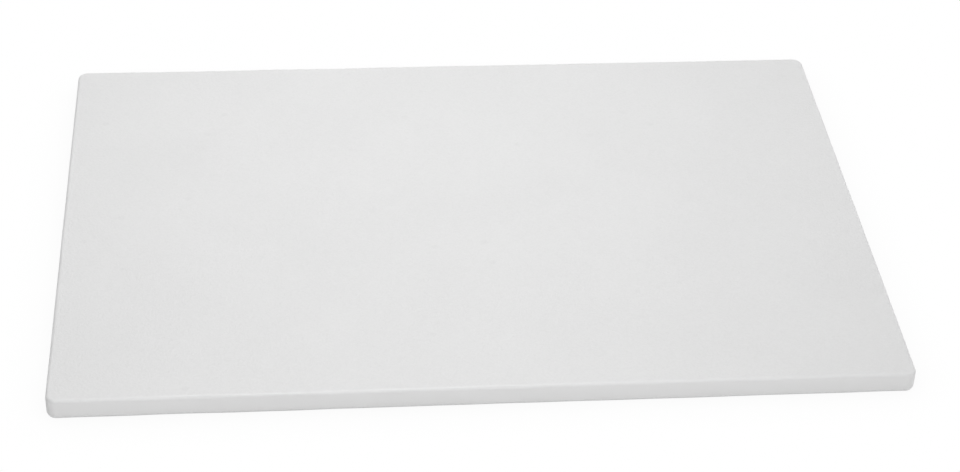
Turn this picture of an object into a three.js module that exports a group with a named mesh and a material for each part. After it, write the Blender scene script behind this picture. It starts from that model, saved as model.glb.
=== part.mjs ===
// A plain plastic cutting board: one solid slab of white polyethylene, cut from sheet.
// Its corners are rounded in plan, and every edge is eased by the same small radius on both faces,
// so either face can be used for cutting and the board can be turned over or end for end.
//
// Millimetres, +Z up. The origin is at the middle of the face that the board rests on.
// +X runs along the board's length and +Y across its depth, away from the user.

import * as THREE from "three";

// The sheet: a nominal 20 by 14 inch blank of half-inch polyethylene.
const LENGTH = 508;
const DEPTH = 355.6;
const THICKNESS = 12.7;

// The cut edges.
const CORNER_RADIUS = 6.35; // in plan, at the widest part of the edge
const EDGE_RADIUS = 1.6; // where the edge meets the upper and the lower face

// How finely the round stretches are divided.
const CORNER_STEPS = 12; // in each quarter-circle corner
const EDGE_STEPS = 6; // in each quarter-round edge

// White polyethylene with a satin face.
const BOARD_COLOUR = new THREE.Color().setRGB(0.8, 0.8, 0.8);
const BOARD_ROUGHNESS = 0.45;

// A rectangle centred on the origin, with its corners rounded by arcs.
function roundedRectangle(length, depth, radius) {
  const x = length / 2 - radius;
  const y = depth / 2 - radius;
  const quarter = Math.PI / 2;
  const outline = new THREE.Shape();
  outline.absarc(x, y, radius, 0, quarter);
  outline.absarc(-x, y, radius, quarter, 2 * quarter);
  outline.absarc(-x, -y, radius, 2 * quarter, 3 * quarter);
  outline.absarc(x, -y, radius, 3 * quarter, 4 * quarter);
  outline.closePath();
  return outline;
}

// The slab between its two faces. The eased edges are the bevel of the extrusion, which adds its height to
// both ends, so the straight part of the wall is shorter than the thickness by one radius at each end.
// The offset draws the bevel inwards, so that the wall stands on the outline itself.
function slabGeometry() {
  const geometry = new THREE.ExtrudeGeometry(roundedRectangle(LENGTH, DEPTH, CORNER_RADIUS), {
    depth: THICKNESS - 2 * EDGE_RADIUS,
    curveSegments: CORNER_STEPS / 2, // an arc is divided into twice this many
    bevelEnabled: true,
    bevelThickness: EDGE_RADIUS,
    bevelSize: EDGE_RADIUS,
    bevelOffset: -EDGE_RADIUS,
    bevelSegments: EDGE_STEPS,
  });
  geometry.translate(0, 0, EDGE_RADIUS);
  return geometry;
}

function makeBoard() {
  const material = new THREE.MeshStandardMaterial({
    color: BOARD_COLOUR,
    roughness: BOARD_ROUGHNESS,
    metalness: 0,
  });
  const board = new THREE.Mesh(slabGeometry(), material);
  board.name = "board";
  return board;
}

const cuttingBoard = new THREE.Group();
cuttingBoard.add(makeBoard());

export default cuttingBoard;
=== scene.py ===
"""A plain plastic cutting board: one slab of white polyethylene, its finish, and the stage that shows it."""

import math
from typing import NamedTuple

import bmesh
import bpy
from bpy.props import FloatProperty, FloatVectorProperty, IntProperty, PointerProperty
from bpy.types import Operator, Panel, PropertyGroup
from mathutils import Matrix, Vector, noise


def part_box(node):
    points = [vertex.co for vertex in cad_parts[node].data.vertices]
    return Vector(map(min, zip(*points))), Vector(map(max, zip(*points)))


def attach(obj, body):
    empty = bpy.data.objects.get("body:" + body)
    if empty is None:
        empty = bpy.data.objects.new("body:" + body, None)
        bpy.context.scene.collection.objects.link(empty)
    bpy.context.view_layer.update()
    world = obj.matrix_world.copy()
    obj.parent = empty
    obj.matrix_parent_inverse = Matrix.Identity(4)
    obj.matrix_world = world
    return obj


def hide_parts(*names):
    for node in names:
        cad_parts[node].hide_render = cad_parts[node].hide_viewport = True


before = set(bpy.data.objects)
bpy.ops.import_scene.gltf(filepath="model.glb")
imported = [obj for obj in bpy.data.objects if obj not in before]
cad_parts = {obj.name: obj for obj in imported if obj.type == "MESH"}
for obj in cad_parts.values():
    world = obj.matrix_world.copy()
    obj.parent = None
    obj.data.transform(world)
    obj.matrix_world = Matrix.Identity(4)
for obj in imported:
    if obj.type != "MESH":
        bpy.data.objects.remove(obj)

bl_info = {
    "name": "Cutting Board",
    "version": (1, 0, 0),
    "blender": (4, 5, 0),
    "location": "3D View > Sidebar > Cutting Board",
    "description": "Makes a plain white plastic cutting board and a pale stage to show it on",
    "category": "Add Mesh",
}

MM = 0.001
QUARTER_TURN = math.pi / 2
WHITE = (1.0, 1.0, 1.0)
BLACK = (0.0, 0.0, 0.0)

# The frame's solid, whose size the slab takes.
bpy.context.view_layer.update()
SLAB_LOW, SLAB_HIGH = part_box("board")
SLAB_SIZE = SLAB_HIGH - SLAB_LOW

# The scraper's strokes along the eased edges: two sets of waves, the finer half as long and half as strong.
STROKE_FALLOFF = 1.0
STROKE_FINENESS = 2.0
STROKE_SETS = 2

# The layer of the mesh that says how much of a face's grain each point has.
FACE_GRAIN = "face_grain"

# The finish's patterns, which run from 0 to 1 and have most of their values in the ranges named here.
# A detail is the number of finer waves that are added to a pattern's own.
MIDDLE_RANGE = (0.3, 0.7)
WIDE_RANGE = (0.2, 0.8)
FINE_PER_PEBBLE = 1.6  # waves of fine grain to one pebble of the embossing
FINE_DETAIL = 2.0
FINE_SHARE = 0.5  # of the fine grain in the embossing, the rest being its pebbles
GRAIN_MIDDLE = 0.47  # level of the embossing that neither rises nor dips
FACE_ROUGHNESS_SPREAD = 0.04
CLOUDS_PER_METRE = 14.0
CLOUD_DETAIL = 3.0
CLOUD_TINT = (0.985, 0.985, 0.985)  # what a cloud leaves of the plastic's colour
FLECK_CORE = 0.5  # share of a fleck's radius where it starts to fade
FLECK_RIM = 1.1  # share of a fleck's radius where nothing is left of it
UPRIGHT_MARKS = (1.0, 1.0, 0.03)  # scale of the cutter's marks along each axis: long in height
LEVEL_MARKS = (0.01, 0.01, 1.0)  # scale of the scraper's lines along each axis: long round the board
LEVEL_PER_UPRIGHT = 2.0  # scraper lines to one cutter mark
MARK_DETAIL = 1.0
MARK_MIDDLE = 0.5  # level of the marks that neither rises nor dips
EDGE_ROUGHNESS_SPREAD = 0.03
REFRACTION = 1.51  # refractive index of polyethylene

# Where the Mix node keeps its two inputs and its output, for plain values and for colours.
MIX_VALUES = (2, 3, 0)
MIX_COLOURS = (6, 7, 2)

# The stage.
FLOOR_GAP = 0.02 * MM  # under the slab, so that its lower face and the floor don't coincide
SHADE_SAMPLES = 16  # rays that look for the board from each point of the floor
LEFT_TO_RIGHT = (-1.0, 1.0)  # what a direction says along X, from one side of the room to the other
IMAGE_WIDTH = 960  # pixels, the width of the picture that the camera's lens was worked out in
SENSOR_WIDTH = 36.0  # millimetres


class BoardSizes(PropertyGroup):
    """The slab's own sizes. The overall ones come from the solid that it stands for."""

    length: FloatProperty(
        name="Length", description="Along X, over the cut edges", default=SLAB_SIZE.x, unit="LENGTH")
    depth: FloatProperty(
        name="Depth", description="Along Y, over the cut edges", default=SLAB_SIZE.y, unit="LENGTH")
    thickness: FloatProperty(
        name="Thickness", description="Between the two faces", default=SLAB_SIZE.z, unit="LENGTH")
    corner_radius: FloatProperty(
        name="Corner radius", description="Of the outline's corners", default=6.35 * MM, unit="LENGTH")
    edge_radius: FloatProperty(
        name="Edge radius", description="Of the eased edges on both faces", default=1.6 * MM, unit="LENGTH")
    end_easing: FloatProperty(
        name="End easing", description="How much larger that radius is along the two ends",
        default=0.4 * MM, unit="LENGTH")
    edge_waver: FloatProperty(
        name="Edge waver", description="How far the hand-eased edges stray from their radius",
        default=0.45 * MM, unit="LENGTH")
    stroke_length: FloatProperty(
        name="Stroke length", description="Along an edge, of one stroke of the scraper that eased it",
        default=40 * MM, unit="LENGTH")
    grain_border: FloatProperty(
        name="Grain border", description="Over which the grain of a face fades out at its eased edge",
        default=0.4 * MM, unit="LENGTH")
    corner_steps: IntProperty(
        name="Corner steps", description="Divisions of each rounded corner", default=24, min=4)
    edge_steps: IntProperty(
        name="Edge steps", description="Divisions of each eased edge", default=12, min=3)
    wall_steps: IntProperty(
        name="Wall steps", description="Divisions of the straight wall between the eased edges",
        default=4, min=1)
    face_cell: FloatProperty(
        name="Face cell", description="Side of a mesh cell on the faces", default=5 * MM, unit="LENGTH")


class BoardFinish(PropertyGroup):
    """The plastic's colour and surface."""

    plastic_colour: FloatVectorProperty(
        name="Plastic colour", description="White polyethylene",
        default=(0.81, 0.81, 0.81), size=3, min=0, max=1, subtype="COLOR")
    fleck_colour: FloatVectorProperty(
        name="Fleck colour", description="Of the small dull flecks in the plastic",
        default=(0.785, 0.785, 0.785), size=3, min=0, max=1, subtype="COLOR")
    fleck_size: FloatProperty(
        name="Fleck size", description="Across one of the dull flecks", default=6 * MM, unit="LENGTH")
    fleck_spacing: FloatProperty(
        name="Fleck spacing", description="From one dull fleck in the plastic to the next",
        default=36 * MM, unit="LENGTH")
    face_roughness: FloatProperty(
        name="Face roughness", description="Of the embossed faces",
        default=0.46, min=0, max=1, subtype="FACTOR")
    edge_roughness: FloatProperty(
        name="Edge roughness", description="Of the cut and scraped edges",
        default=0.36, min=0, max=1, subtype="FACTOR")
    grain_pitch: FloatProperty(
        name="Grain pitch", description="From one pebble of the embossing to the next",
        default=1.4 * MM, unit="LENGTH")
    grain_height: FloatProperty(
        name="Grain height", description="Of the embossing's pebbles", default=0.22 * MM, unit="LENGTH")
    # Painted shade: darkens the plastic's colour in the dips of the face grain.
    painted_dip_shade: FloatProperty(
        name="Grain shade", description="How much darker the embossing's dips are than its pebbles",
        default=0.025, min=0, max=1, subtype="FACTOR")
    cutter_pitch: FloatProperty(
        name="Cutter pitch", description="From one cutter mark on the edges to the next",
        default=0.9 * MM, unit="LENGTH")
    cutter_height: FloatProperty(
        name="Cutter height", description="Of the cutter marks on the edges",
        default=0.02 * MM, unit="LENGTH")
    translucency: FloatProperty(
        name="Translucency", description="Share of the light that travels inside the plastic",
        default=0.35, min=0, max=1, subtype="FACTOR")
    light_reach: FloatProperty(
        name="Light reach", description="How far light travels inside the plastic",
        default=1.5 * MM, unit="LENGTH")


class StageSettings(PropertyGroup):
    """The floor, the light and the camera."""

    floor_size: FloatProperty(
        name="Floor size", description="Side of the square floor", default=12.0, unit="LENGTH")
    floor_colour: FloatVectorProperty(
        name="Floor colour", description="Of the pale floor, as it throws light back at the board",
        default=(0.845, 0.845, 0.845), size=3, min=0, max=1, subtype="COLOR")
    # Painted shadow: darkens the floor as seen, around the board.
    painted_contact_shade: FloatProperty(
        name="Contact shade", description="How much the floor darkens where the board keeps the light off it",
        default=0.08, min=0, max=1, subtype="FACTOR")
    shade_reach: FloatProperty(
        name="Shade reach", description="How far the board's shade spreads over the floor",
        default=30 * MM, unit="LENGTH")
    # Painted shadow: darkens the floor as seen, in the crease under the board's edge.
    painted_crease_shade: FloatProperty(
        name="Crease shade", description="How much the floor darkens in the crease under the board's edge",
        default=0.6, min=0, max=1, subtype="FACTOR")
    crease_reach: FloatProperty(
        name="Crease reach", description="How far the dark of the crease spreads over the floor",
        default=0.5 * MM, unit="LENGTH")
    room_light: FloatVectorProperty(
        name="Room light", description="Strength of the soft light from the room's left and right sides",
        default=(0.17, 0.51), size=2, min=0)
    overhead_power: FloatProperty(
        name="Overhead power", description="Of the soft lamp close above the board",
        default=4.1, min=0, unit="POWER")
    overhead_place: FloatVectorProperty(
        name="Overhead place", description="Middle of the lamp above the board",
        default=(-0.03, 0.25, 0.85), size=3, subtype="TRANSLATION", unit="LENGTH")
    overhead_size: FloatVectorProperty(
        name="Overhead size", description="Width and height of the lamp above the board",
        default=(0.5, 0.4), size=2, unit="LENGTH")
    front_power: FloatProperty(
        name="Front power", description="Of the soft lamp in front of the board",
        default=10.6, min=0, unit="POWER")
    front_place: FloatVectorProperty(
        name="Front place", description="Middle of the lamp in front of the board",
        default=(0.0, -1.6, 0.9), size=3, subtype="TRANSLATION", unit="LENGTH")
    front_size: FloatVectorProperty(
        name="Front size", description="Width and height of the lamp in front of the board",
        default=(1.2, 0.6), size=2, unit="LENGTH")
    camera_azimuth: FloatProperty(
        name="Camera azimuth", description="Round the board from its front, towards its right end",
        default=math.radians(-5.99), subtype="ANGLE")
    camera_elevation: FloatProperty(
        name="Camera elevation", description="Above the floor",
        default=math.radians(35.70), subtype="ANGLE")
    camera_roll: FloatProperty(
        name="Camera roll", description="About the line of sight",
        default=math.radians(2.01), subtype="ANGLE")
    camera_distance: FloatProperty(
        name="Camera distance", description="From the point that the camera looks at",
        default=1.4892, unit="LENGTH")
    camera_target: FloatVectorProperty(
        name="Camera target", description="Point on the floor that the camera looks at",
        default=(0.00968, -0.01005, 0.0), size=3, subtype="TRANSLATION", unit="LENGTH")
    focal_pixels: FloatProperty(
        name="Focal length in pixels", description="Of the lens, in pixels of the picture",
        default=2325.0, subtype="PIXEL")


class NodeTree:
    """A material's or world's node tree, with short ways to add the nodes that the finishes use."""

    def __init__(self, tree):
        self.tree = tree

    def add(self, kind, **settings):
        node = self.tree.nodes.new(kind)
        for name, value in settings.items():
            setattr(node, name, value)
        return node

    def feed(self, socket, value):
        """Links a socket to an output, or sets it to a plain value."""
        if isinstance(value, bpy.types.NodeSocket):
            self.tree.links.new(value, socket)
        else:
            socket.default_value = value

    def feed_in_order(self, node, *values):
        for socket, value in zip(node.inputs, values):
            self.feed(socket, value)

    def maths(self, operation, first, second=0.0):
        node = self.add("ShaderNodeMath", operation=operation)
        self.feed_in_order(node, first, second)
        return node.outputs[0]

    def stretch(self, coordinates, scale):
        node = self.add("ShaderNodeVectorMath", operation="MULTIPLY")
        self.feed_in_order(node, coordinates, scale)
        return node.outputs[0]

    def along(self, coordinates, axis):
        node = self.add("ShaderNodeSeparateXYZ")
        self.feed_in_order(node, coordinates)
        return node.outputs[axis]

    def noise(self, coordinates, scale, detail):
        node = self.add("ShaderNodeTexNoise")
        self.feed(node.inputs["Vector"], coordinates)
        self.feed(node.inputs["Scale"], scale)
        self.feed(node.inputs["Detail"], detail)
        return node.outputs["Fac"]

    def cells(self, coordinates, scale, feature="F1"):
        """The distance from the middle of the nearest cell, in cells."""
        node = self.add("ShaderNodeTexVoronoi", feature=feature)
        self.feed(node.inputs["Vector"], coordinates)
        self.feed(node.inputs["Scale"], scale)
        return node.outputs["Distance"]

    def ramp(self, value, limits, at_low, at_high):
        """Turns a value between two limits smoothly into one between two others."""
        node = self.add("ShaderNodeMapRange", interpolation_type="SMOOTHSTEP")
        self.feed_in_order(node, value, *limits, at_low, at_high)
        return node.outputs[0]

    def mix(self, node, sockets, share, first, second):
        first_socket, second_socket, result = sockets
        self.feed(node.inputs["Factor"], share)
        self.feed(node.inputs[first_socket], first)
        self.feed(node.inputs[second_socket], second)
        return node.outputs[result]

    def mix_values(self, share, first, second):
        node = self.add("ShaderNodeMix", data_type="FLOAT")
        return self.mix(node, MIX_VALUES, share, first, second)

    def mix_colours(self, share, first, second, blend="MIX"):
        node = self.add("ShaderNodeMix", data_type="RGBA", blend_type=blend)
        return self.mix(node, MIX_COLOURS, share, first, second)

    def lit_or_seen(self, lit, seen, output):
        """Gives the output one shader for rays that light, and another for rays that show the stage itself,
        straight, mirrored or through glass."""
        path = self.add("ShaderNodeLightPath")
        shows = self.maths("MAXIMUM", path.outputs["Is Camera Ray"], path.outputs["Is Glossy Ray"])
        shows = self.maths("MAXIMUM", shows, path.outputs["Is Transmission Ray"])
        either = self.add("ShaderNodeMixShader")
        self.feed_in_order(either, shows, lit.outputs[0], seen.outputs[0])
        self.feed(self.tree.nodes[output].inputs["Surface"], either.outputs[0])


def opaque(colour):
    """A colour with the alpha that colour sockets ask for."""
    return (*colour, 1.0)


def either_side(middle, spread):
    return middle - spread, middle + spread


def embossing(nodes, place, finish):
    """The grain of the faces: 0 on top of its pebbles, and towards 1 in the dips between them."""
    pebbles = nodes.cells(place, 1.0 / finish.grain_pitch, "SMOOTH_F1")
    fine_grain = nodes.noise(place, FINE_PER_PEBBLE / finish.grain_pitch, FINE_DETAIL)
    return nodes.mix_values(FINE_SHARE, pebbles, fine_grain)


def edge_marks(nodes, place, finish, sizes):
    """Upright marks of the cutter on the walls, and level lines of the scraper on the eased edges."""
    cutter_scale = 1.0 / finish.cutter_pitch
    upright = nodes.noise(nodes.stretch(place, UPRIGHT_MARKS), cutter_scale, MARK_DETAIL)
    level = nodes.noise(nodes.stretch(place, LEVEL_MARKS), LEVEL_PER_UPRIGHT * cutter_scale, MARK_DETAIL)
    above_middle = nodes.maths("SUBTRACT", nodes.along(place, "Z"), sizes.thickness / 2)
    off_middle = nodes.maths("ABSOLUTE", above_middle)
    wall_end = sizes.thickness / 2 - sizes.edge_radius
    on_wall = nodes.ramp(off_middle, either_side(wall_end, sizes.grain_border), 1.0, 0.0)
    return nodes.mix_values(on_wall, level, upright)


def surface_colour(nodes, place, dips, on_face, finish):
    """White with faint clouds, a few dull flecks, and painted shade in the dips of the grain."""
    clouds = nodes.ramp(nodes.noise(place, CLOUDS_PER_METRE, CLOUD_DETAIL), MIDDLE_RANGE, 0.0, 1.0)
    cloud_tint = nodes.mix_colours(clouds, opaque(CLOUD_TINT), opaque(WHITE))
    clouded = nodes.mix_colours(1.0, opaque(finish.plastic_colour), cloud_tint, "MULTIPLY")
    from_fleck = nodes.cells(place, 1.0 / finish.fleck_spacing)
    radius = finish.fleck_size / finish.fleck_spacing / 2
    fleck = nodes.ramp(from_fleck, (FLECK_CORE * radius, FLECK_RIM * radius), 1.0, 0.0)
    flecked = nodes.mix_colours(fleck, clouded, opaque(finish.fleck_colour))
    # Painted shade in the dips of the grain, on the faces only.
    shade = nodes.maths("MULTIPLY", nodes.ramp(dips, MIDDLE_RANGE, 0.0, finish.painted_dip_shade), on_face)
    return nodes.mix_colours(shade, flecked, opaque(BLACK))


def surface_roughness(nodes, dips, marks, on_face, finish):
    """Rougher in the dips of the faces, and along the marks of the edges."""
    on_grain = nodes.ramp(dips, WIDE_RANGE, *either_side(finish.face_roughness, FACE_ROUGHNESS_SPREAD))
    on_marks = nodes.ramp(marks, MIDDLE_RANGE, *either_side(finish.edge_roughness, EDGE_ROUGHNESS_SPREAD))
    return nodes.mix_values(on_face, on_marks, on_grain)


def surface_relief(nodes, dips, marks, on_face, finish):
    """Grain and marks at their heights, each from its middle level, so that they meet without a step."""
    above_dips = nodes.maths("SUBTRACT", GRAIN_MIDDLE, dips)
    grain_relief = nodes.maths("MULTIPLY", above_dips, finish.grain_height)
    above_marks = nodes.maths("SUBTRACT", marks, MARK_MIDDLE)
    mark_relief = nodes.maths("MULTIPLY", above_marks, finish.cutter_height)
    relief = nodes.add("ShaderNodeBump")
    relief.inputs["Strength"].default_value = 1.0
    relief.inputs["Distance"].default_value = 1.0
    nodes.feed(relief.inputs["Height"], nodes.mix_values(on_face, mark_relief, grain_relief))
    return relief.outputs["Normal"]


def white_polyethylene(finish, sizes):
    """Satin white plastic: a pebbled grain on the faces, tool marks on the edges, and a milky inside."""
    material = bpy.data.materials.new("satin_polyethylene")
    material.use_nodes = True
    nodes = NodeTree(material.node_tree)
    shader = nodes.tree.nodes["Principled BSDF"]
    place = nodes.add("ShaderNodeTexCoord").outputs["Object"]
    on_face = nodes.add("ShaderNodeAttribute", attribute_name=FACE_GRAIN).outputs["Fac"]
    dips = embossing(nodes, place, finish)
    marks = edge_marks(nodes, place, finish, sizes)
    nodes.feed(shader.inputs["Base Color"], surface_colour(nodes, place, dips, on_face, finish))
    nodes.feed(shader.inputs["Roughness"], surface_roughness(nodes, dips, marks, on_face, finish))
    nodes.feed(shader.inputs["Normal"], surface_relief(nodes, dips, marks, on_face, finish))
    shader.inputs["IOR"].default_value = REFRACTION
    shader.inputs["Subsurface Weight"].default_value = finish.translucency
    shader.inputs["Subsurface Radius"].default_value = WHITE
    shader.inputs["Subsurface Scale"].default_value = finish.light_reach
    return material


def even_places(half, cell):
    """Evenly spaced places from -half to half, about one cell apart."""
    count = max(1, round(2 * half / cell))
    return [half * (2 * i / count - 1) for i in range(count + 1)]


class Station(NamedTuple):
    """A place on the line through the corners' centres, and the direction from it out to the slab's edge."""

    x: float
    y: float
    turn: float


class SlabOutline:
    """Stations round the slab, from which its outline is drawn at any inset."""

    def __init__(self, sizes):
        self.radius = sizes.corner_radius
        self.x = sizes.length / 2 - self.radius
        self.y = sizes.depth / 2 - self.radius
        self.columns = even_places(self.x, sizes.face_cell)
        self.rows = even_places(self.y, sizes.face_cell)
        self.corner_steps = sizes.corner_steps
        to_right, to_back, to_left, to_front = (i * QUARTER_TURN for i in range(4))
        # Once round, anticlockwise from the front of the right-hand end.
        self.stations = [Station(self.x, y, to_right) for y in self.rows]
        self.stations += self.corner(self.x, self.y, to_right)
        self.stations += [Station(x, self.y, to_back) for x in reversed(self.columns)]
        self.stations += self.corner(-self.x, self.y, to_back)
        self.stations += [Station(-self.x, y, to_left) for y in reversed(self.rows)]
        self.stations += self.corner(-self.x, -self.y, to_left)
        self.stations += [Station(x, -self.y, to_front) for x in self.columns]
        self.stations += self.corner(self.x, -self.y, to_front)

    def corner(self, x, y, start):
        """The stations inside one rounded corner, without its two ends."""
        step = QUARTER_TURN / self.corner_steps
        return [Station(x, y, start + step * i) for i in range(1, self.corner_steps)]

    def point(self, station, inset):
        reach = self.radius - inset
        return station.x + reach * math.cos(station.turn), station.y + reach * math.sin(station.turn)


def eased_radii(outline, sizes, height):
    """The radius of one face's eased edge at each station: larger along the ends, and wavering all round."""
    radii = []
    for station in outline.stations:
        place = Vector((*outline.point(station, 0.0), height)) / sizes.stroke_length
        stroke = noise.fractal(place, STROKE_FALLOFF, STROKE_FINENESS, STROKE_SETS)
        waver = sizes.edge_waver * max(-1.0, min(1.0, stroke))
        towards_end = math.cos(station.turn) ** 2
        radii.append(sizes.edge_radius + sizes.end_easing * towards_end + waver)
    return radii


def eased_edge(sizes, radius):
    """One eased edge, from its face to the wall: rows of (inset, drop from the face, share of grain)."""
    turns = [QUARTER_TURN * i / sizes.edge_steps for i in range(sizes.edge_steps + 1)]
    arc = [(radius * (1 - math.sin(turn)), radius * (1 - math.cos(turn)), 0.0) for turn in turns]
    return [(radius + sizes.grain_border, 0.0, 1.0), *arc]


def edge_profile(sizes, lower_radius, upper_radius):
    """The slab's edge at one station, from the lower face up: rows of (inset, height, share of grain)."""
    rows = eased_edge(sizes, lower_radius)
    wall = sizes.thickness - lower_radius - upper_radius
    for i in range(1, sizes.wall_steps):
        rows.append((0.0, lower_radius + wall * i / sizes.wall_steps, 0.0))
    for inset, drop, grain in reversed(eased_edge(sizes, upper_radius)):
        rows.append((inset, sizes.thickness - drop, grain))
    return rows


def cap_face(mesh, outline, ring, height, grain_layer, facing_up):
    """Closes one face: a grid inside the corners' centres, joined to the ring by a strip with corner fans."""
    grid = [[mesh.verts.new((x, y, height)) for x in outline.columns] for y in outline.rows]
    for line in grid:
        for vertex in line:
            vertex[grain_layer] = 1.0
    inside_corner = outline.corner_steps - 1
    inner = [line[-1] for line in grid]
    inner += [grid[-1][-1]] * inside_corner
    inner += reversed(grid[-1])
    inner += [grid[-1][0]] * inside_corner
    inner += [line[0] for line in reversed(grid)]
    inner += [grid[0][0]] * inside_corner
    inner += grid[0]
    inner += [grid[0][-1]] * inside_corner
    loops = []
    for i in range(len(ring)):
        j = (i + 1) % len(ring)
        loops.append([ring[i], ring[j], inner[j], inner[i]])
    for low, high in zip(grid, grid[1:]):
        for i in range(len(low) - 1):
            loops.append([low[i], low[i + 1], high[i + 1], high[i]])
    for loop in loops:
        corners = list(dict.fromkeys(loop))
        mesh.faces.new(corners if facing_up else list(reversed(corners)))


def slab_mesh(sizes):
    """The whole slab as one closed mesh, with the share of face grain kept on its points."""
    widest = sizes.edge_radius + sizes.end_easing + sizes.edge_waver
    if sizes.corner_radius <= widest + sizes.grain_border:
        raise ValueError("the corner radius has to be larger than the eased edge with its grain border")
    if sizes.thickness <= 2 * widest:
        raise ValueError("the eased edges are too large for the slab's thickness")
    outline = SlabOutline(sizes)
    lower = eased_radii(outline, sizes, 0.0)
    upper = eased_radii(outline, sizes, sizes.thickness)
    profiles = [edge_profile(sizes, *radii) for radii in zip(lower, upper)]
    mesh = bmesh.new()
    grain_layer = mesh.verts.layers.float.new(FACE_GRAIN)
    rings = []
    for rows in zip(*profiles):
        ring = []
        for station, (inset, height, grain) in zip(outline.stations, rows):
            vertex = mesh.verts.new((*outline.point(station, inset), height))
            vertex[grain_layer] = grain
            ring.append(vertex)
        rings.append(ring)
    for low, high in zip(rings, rings[1:]):
        for i in range(len(low)):
            j = (i + 1) % len(low)
            mesh.faces.new([low[i], low[j], high[j], high[i]])
    cap_face(mesh, outline, rings[0], 0.0, grain_layer, facing_up=False)
    cap_face(mesh, outline, rings[-1], sizes.thickness, grain_layer, facing_up=True)
    for face in mesh.faces:
        face.smooth = True
    middle = (SLAB_LOW + SLAB_HIGH) / 2
    mesh.transform(Matrix.Translation((middle.x, middle.y, SLAB_LOW.z)))
    data = bpy.data.meshes.new("cutting_slab")
    mesh.to_mesh(data)
    mesh.free()
    return data


class MakeSlab(Operator):
    """Makes the board's slab of white polyethylene in place of its plain solid"""

    bl_idname = "cutting_board.make_slab"
    bl_label = "Make the slab"

    def execute(self, context):
        scene = context.scene
        slab = bpy.data.objects.new("cutting_slab", slab_mesh(scene.board_sizes))
        scene.collection.objects.link(slab)
        slab.data.materials.append(white_polyethylene(scene.board_finish, scene.board_sizes))
        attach(slab, "root")
        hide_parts("board")
        return {"FINISHED"}


def painted_shade_near(nodes, shade, reach):
    """Painted shade: 1 on open ground, and less by up to the shade where something stands within reach, found
    by ambient occlusion and not by the lamps.
    """
    openness = nodes.add("ShaderNodeAmbientOcclusion", samples=SHADE_SAMPLES)
    openness.inputs["Distance"].default_value = reach
    return nodes.mix_values(openness.outputs["AO"], 1.0 - shade, 1.0)


def floor_paper(stage):
    """Pale paper that looks white, with a painted shadow: as seen, it is darker near the board and in the
    crease under its edge, found by ambient occlusion and not by the lamps; as it lights the board, it takes
    the lamps' real shadows.
    """
    material = bpy.data.materials.new("floor_paper")
    material.use_nodes = True
    nodes = NodeTree(material.node_tree)
    nodes.tree.nodes.remove(nodes.tree.nodes["Principled BSDF"])
    lit = nodes.add("ShaderNodeBsdfDiffuse")
    lit.inputs["Color"].default_value = opaque(stage.floor_colour)
    painted_contact_shadow = painted_shade_near(nodes, stage.painted_contact_shade, stage.shade_reach)
    painted_crease_shadow = painted_shade_near(nodes, stage.painted_crease_shade, stage.crease_reach)
    # The floor as seen glows white, darkened by the painted shadows.
    seen = nodes.add("ShaderNodeEmission")
    nodes.feed(seen.inputs["Strength"], nodes.maths("MULTIPLY", painted_contact_shadow, painted_crease_shadow))
    nodes.lit_or_seen(lit, seen, "Material Output")
    return material


def make_floor(scene, stage):
    half = stage.floor_size / 2
    data = bpy.data.meshes.new("floor")
    corners = [(-half, -half, 0), (half, -half, 0), (half, half, 0), (-half, half, 0)]
    data.from_pydata(corners, [], [(0, 1, 2, 3)])
    data.materials.append(floor_paper(stage))
    floor = bpy.data.objects.new("floor", data)
    floor.location.z = SLAB_LOW.z - FLOOR_GAP
    scene.collection.objects.link(floor)


def light_room(scene, stage):
    """Soft light from all round, stronger from the right, in a room that itself looks white."""
    world = bpy.data.worlds.new("studio_room")
    world.use_nodes = True
    scene.world = world
    nodes = NodeTree(world.node_tree)
    lit = nodes.tree.nodes["Background"]
    lit.inputs["Color"].default_value = opaque(WHITE)
    direction = nodes.add("ShaderNodeTexCoord").outputs["Generated"]
    strength = nodes.ramp(nodes.along(direction, "X"), LEFT_TO_RIGHT, *stage.room_light)
    nodes.feed(lit.inputs["Strength"], strength)
    seen = nodes.add("ShaderNodeBackground")
    seen.inputs["Color"].default_value = opaque(WHITE)
    seen.inputs["Strength"].default_value = 1.0
    nodes.lit_or_seen(lit, seen, "World Output")


def hang_lamp(scene, name, power, place, size):
    """A soft rectangular lamp that faces the middle of the board."""
    light = bpy.data.lights.new(name, "AREA")
    light.shape = "RECTANGLE"
    light.size, light.size_y = size
    light.energy = power
    lamp = bpy.data.objects.new(name, light)
    lamp.location = place
    lamp.rotation_euler = (-Vector(place)).to_track_quat("-Z", "Y").to_euler()
    lamp.visible_camera = False
    scene.collection.objects.link(lamp)


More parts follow.
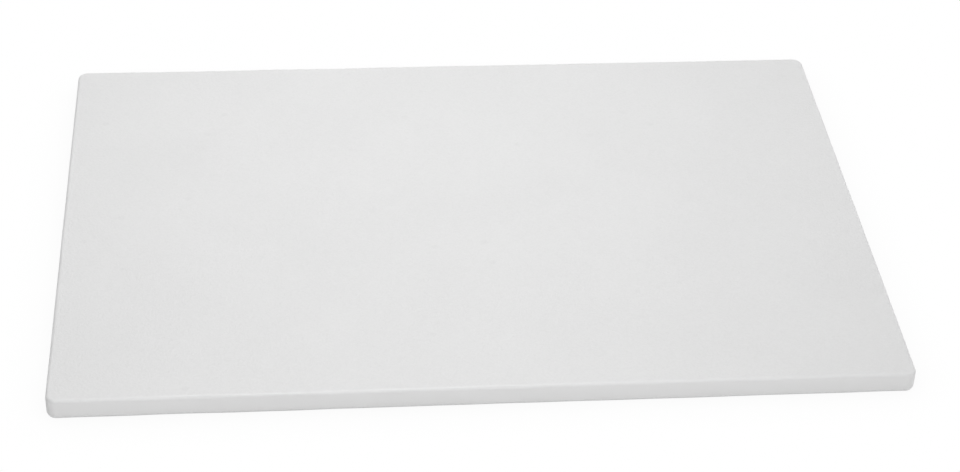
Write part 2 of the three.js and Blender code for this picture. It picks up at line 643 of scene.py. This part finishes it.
def place_camera(scene, stage):
    """A camera turned about its target, with its roll about the line of sight."""
    azimuth, elevation, roll = stage.camera_azimuth, stage.camera_elevation, stage.camera_roll
    level_reach = math.cos(elevation)
    back = Vector((math.sin(azimuth) * level_reach, -math.cos(azimuth) * level_reach, math.sin(elevation)))
    level = Vector((math.cos(azimuth), math.sin(azimuth), 0))
    upright = back.cross(level)
    right = math.cos(roll) * level + math.sin(roll) * upright
    up = math.cos(roll) * upright - math.sin(roll) * level
    lens = bpy.data.cameras.new("camera")
    lens.sensor_width = SENSOR_WIDTH
    lens.lens = stage.focal_pixels * SENSOR_WIDTH / IMAGE_WIDTH
    camera = bpy.data.objects.new("camera", lens)
    place = Vector(stage.camera_target) + back * stage.camera_distance
    turned = Matrix((right, up, back)).transposed().to_4x4()
    camera.matrix_world = Matrix.Translation(place) @ turned
    scene.collection.objects.link(camera)
    scene.camera = camera


class SetStage(Operator):
    """Sets up the pale floor, the soft light and the camera"""

    bl_idname = "cutting_board.set_stage"
    bl_label = "Set the stage"

    def execute(self, context):
        scene = context.scene
        stage = scene.board_stage
        scene.view_settings.view_transform = "Standard"
        make_floor(scene, stage)
        light_room(scene, stage)
        hang_lamp(scene, "overhead_lamp", stage.overhead_power, stage.overhead_place, stage.overhead_size)
        hang_lamp(scene, "front_lamp", stage.front_power, stage.front_place, stage.front_size)
        place_camera(scene, stage)
        return {"FINISHED"}


class BoardPanel(Panel):
    """The board's sizes, its finish and its stage"""

    bl_idname = "VIEW3D_PT_cutting_board"
    bl_label = "Cutting Board"
    bl_space_type = "VIEW_3D"
    bl_region_type = "UI"
    bl_category = "Cutting Board"

    def draw(self, context):
        sections = (
            (MakeSlab, (context.scene.board_sizes, context.scene.board_finish)),
            (SetStage, (context.scene.board_stage,)),
        )
        for operator, groups in sections:
            box = self.layout.box()
            for group in groups:
                for name in group.__annotations__:
                    box.prop(group, name)
            box.operator(operator.bl_idname)


CLASSES = (BoardSizes, BoardFinish, StageSettings, MakeSlab, SetStage, BoardPanel)


def register():
    for made in CLASSES:
        bpy.utils.register_class(made)
    bpy.types.Scene.board_sizes = PointerProperty(type=BoardSizes)
    bpy.types.Scene.board_finish = PointerProperty(type=BoardFinish)
    bpy.types.Scene.board_stage = PointerProperty(type=StageSettings)


def unregister():
    del bpy.types.Scene.board_stage
    del bpy.types.Scene.board_finish
    del bpy.types.Scene.board_sizes
    for made in reversed(CLASSES):
        bpy.utils.unregister_class(made)


def main():
    register()
    bpy.ops.cutting_board.make_slab()
    bpy.ops.cutting_board.set_stage()


if __name__ == "__main__":
    main()
